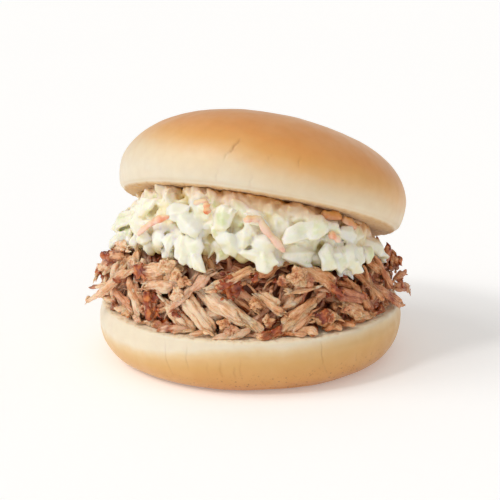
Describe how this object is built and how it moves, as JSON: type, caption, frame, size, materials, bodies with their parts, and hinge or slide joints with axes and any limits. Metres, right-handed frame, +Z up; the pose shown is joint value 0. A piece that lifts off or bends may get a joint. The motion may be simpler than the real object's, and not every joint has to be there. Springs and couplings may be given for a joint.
{
  "type": "pulled pork sandwich",
  "caption": "Round bun filled with pulled pork and creamy cabbage and carrot slaw, its top half leaning back on the filling to show the layers.",
  "frame": {"origin": "centre of the flat underside of the bun's heel", "axes": "+Z up out of the underside, -Y towards the open front, +X to the right, where the crown dips"},
  "size_m": [0.1162, 0.1099, 0.0917],
  "materials": {
    "heel_crust": "soft golden bread crust with a pale cut edge",
    "pork": "moist shredded meat with glossy red-brown sauce",
    "slaw": "cream-coated pale green cabbage with orange carrot",
    "crown_crust": "satin golden-brown bread crust fading to cream at the sides"
  },
  "bodies": {
    "root": {"bun_heel": "heel_crust", "pulled_pork": "pork", "coleslaw": "slaw", "bun_crown": "crown_crust"}
  },
  "joints": []
}
